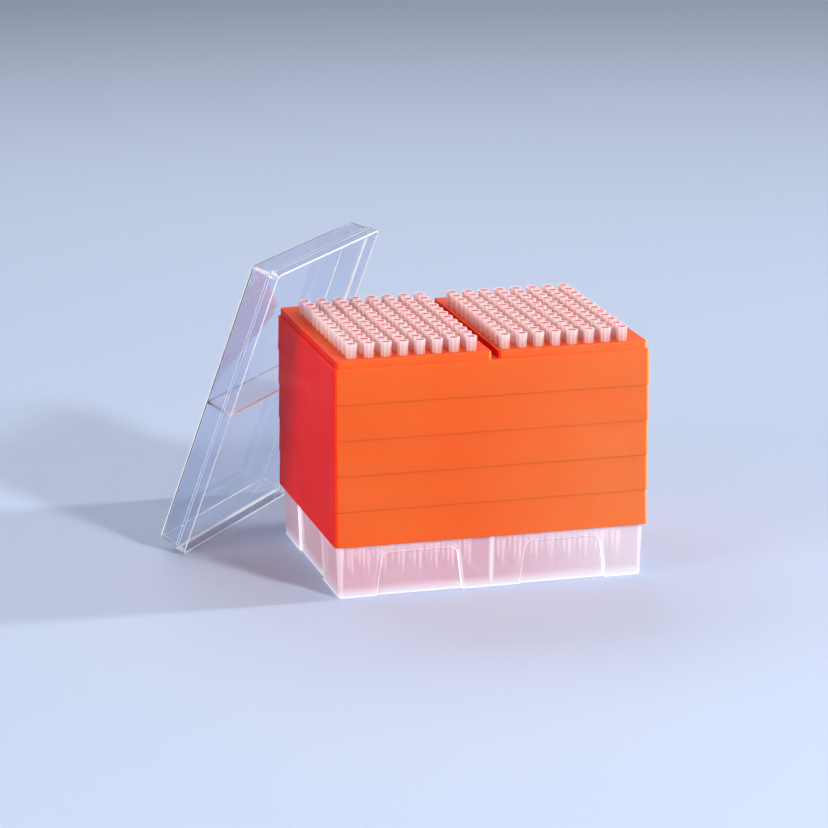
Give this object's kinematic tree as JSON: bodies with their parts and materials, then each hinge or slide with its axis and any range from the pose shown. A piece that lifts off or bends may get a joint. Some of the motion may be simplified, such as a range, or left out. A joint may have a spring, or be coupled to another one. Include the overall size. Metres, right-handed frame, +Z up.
{
  "type": "pipette tip refill stack",
  "caption": "Box of pipette tips: nested orange refill racks of loose tips on a frosted base box, with the clear lid taken off and leaned on the stack's corner.",
  "frame": {"origin": "middle of the base box's underside, which stands on the bench", "axes": "+X along the stack's long side to the right, +Y from the front to the back, +Z up; the lid leans on the back left corner"},
  "size_m": [0.2374, 0.2044, 0.1618],
  "materials": {
    "rack_orange": "satin, slightly translucent",
    "tip_natural": "natural translucent",
    "base_frosted": "frosted translucent",
    "lid_clear": "clear, polished"
  },
  "bodies": {
    "root": {"base": "base_frosted", "rack_1": "rack_orange", "rack_2": "rack_orange", "rack_3": "rack_orange", "rack_4": "rack_orange", "rack_5": "rack_orange", "lid": "lid_clear", "tips_1_left": "tip_natural", "tips_1_right": "tip_natural", "tips_2_left": "tip_natural", "tips_2_right": "tip_natural", "tips_3_left": "tip_natural", "tips_3_right": "tip_natural", "tips_4_left": "tip_natural", "tips_4_right": "tip_natural", "tips_5_left": "tip_natural", "tips_5_right": "tip_natural"}
  },
  "joints": []
}
